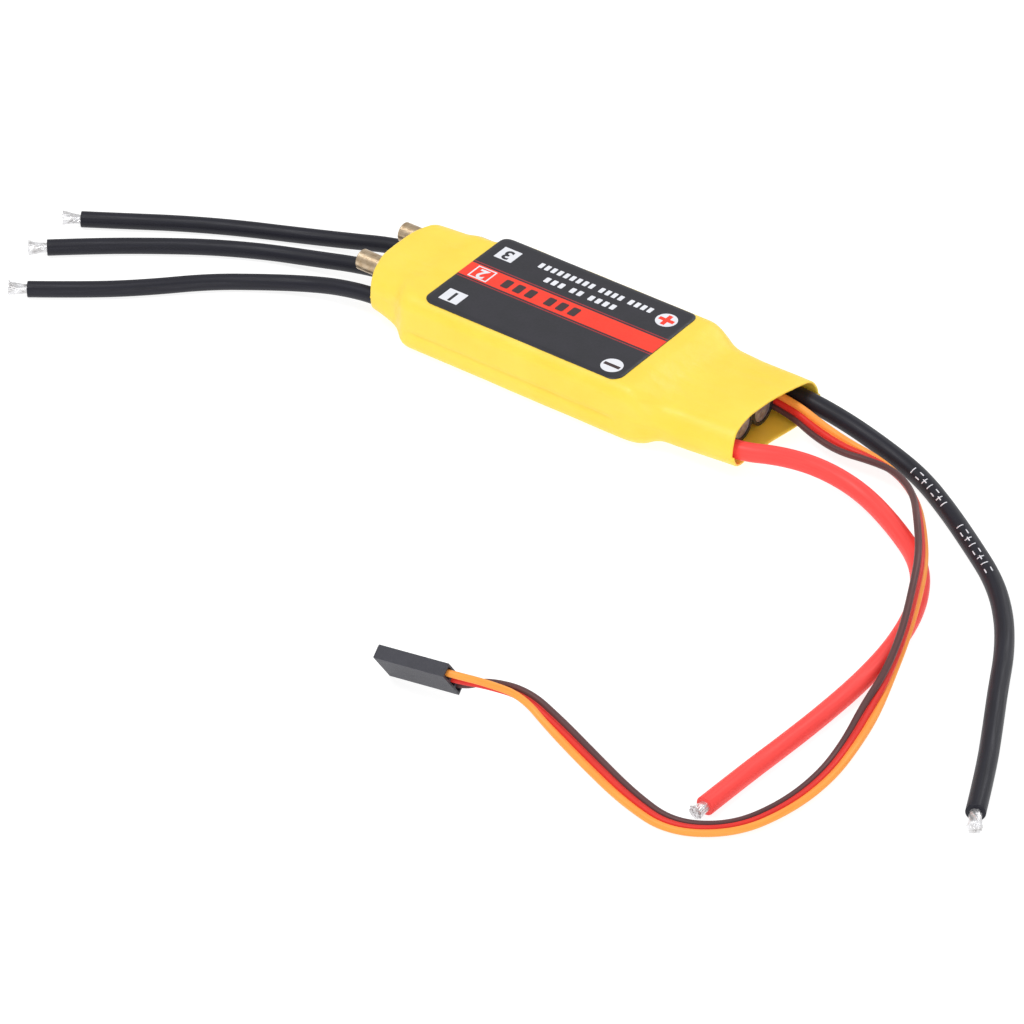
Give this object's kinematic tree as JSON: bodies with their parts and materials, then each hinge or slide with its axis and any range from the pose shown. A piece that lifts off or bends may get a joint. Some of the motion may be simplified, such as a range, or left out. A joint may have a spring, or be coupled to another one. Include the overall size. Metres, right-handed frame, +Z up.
{
  "type": "electronic speed controller",
  "caption": "Sealed flat motor controller in a shrink sleeve with a water-cooling tube, motor leads at one end and battery and servo leads at the other.",
  "frame": {"origin": "on the resting surface, below the middle of the body (sleeve and tube ends), the free leads left out", "axes": "+X along the body towards the battery end, +Z up out of the labelled face, +Y to the left of +X"},
  "size_m": [0.2384, 0.1142, 0.0121],
  "materials": {
    "sleeve_yellow": "satin heat-shrink film",
    "label_print": "semi-gloss printed film, dark with a red band",
    "brass": "drawn tube, satin",
    "aluminium": "milled",
    "thermal_pad": "soft, matt",
    "board": "solder mask over glass fibre",
    "chip_black": "moulded epoxy",
    "ceramic": "fired ceramic",
    "insulation_paper": "fish paper",
    "solder": "bright solder",
    "can_aluminium": "bright drawn can",
    "capacitor_film": "shrunk film",
    "rubber_bung": "matt",
    "silicone_black": "silicone, soft sheen",
    "silicone_red": "silicone, soft sheen",
    "tinned_copper": "tinned strands",
    "wire_brown": "PVC",
    "wire_red": "PVC",
    "wire_orange": "PVC",
    "plug_black": "moulded",
    "contact_gold": "plated"
  },
  "bodies": {
    "root": {"battery_wire_negative_conductor": "tinned_copper", "battery_wire_negative_insulation": "silicone_black", "battery_wire_positive_conductor": "tinned_copper", "battery_wire_positive_insulation": "silicone_red", "capacitor_1_bung": "rubber_bung", "capacitor_1_can": "can_aluminium", "capacitor_1_leads": "tinned_copper", "capacitor_1_sleeve": "capacitor_film", "capacitor_2_bung": "rubber_bung", "capacitor_2_can": "can_aluminium", "capacitor_2_leads": "tinned_copper", "capacitor_2_sleeve": "capacitor_film", "ceramic_capacitors": "ceramic", "chip_passives": "ceramic", "circuit_board": "board", "cooling_tube": "brass", "gate_drivers": "chip_black", "heat_shrink_sleeve": "sleeve_yellow", "heatsink_plate": "aluminium", "insulation_sheet": "insulation_paper", "label_film": "label_print", "microcontroller": "chip_black", "mosfets_phase_a": "chip_black", "mosfets_phase_b": "chip_black", "mosfets_phase_c": "chip_black", "motor_wire_a_conductor": "tinned_copper", "motor_wire_a_insulation": "silicone_black", "motor_wire_b_conductor": "tinned_copper", "motor_wire_b_insulation": "silicone_black", "motor_wire_c_conductor": "tinned_copper", "motor_wire_c_insulation": "silicone_black", "regulator_chip": "chip_black", "regulator_diode": "chip_black", "regulator_inductor": "chip_black", "resonator": "ceramic", "servo_contacts": "contact_gold", "servo_plug_housing": "plug_black", "servo_wire_brown_conductor": "tinned_copper", "servo_wire_brown_insulation": "wire_brown", "servo_wire_orange_conductor": "tinned_copper", "servo_wire_orange_insulation": "wire_orange", "servo_wire_red_conductor": "tinned_copper", "servo_wire_red_insulation": "wire_red", "solder_joints": "solder", "thermal_pad": "thermal_pad"}
  },
  "joints": []
}
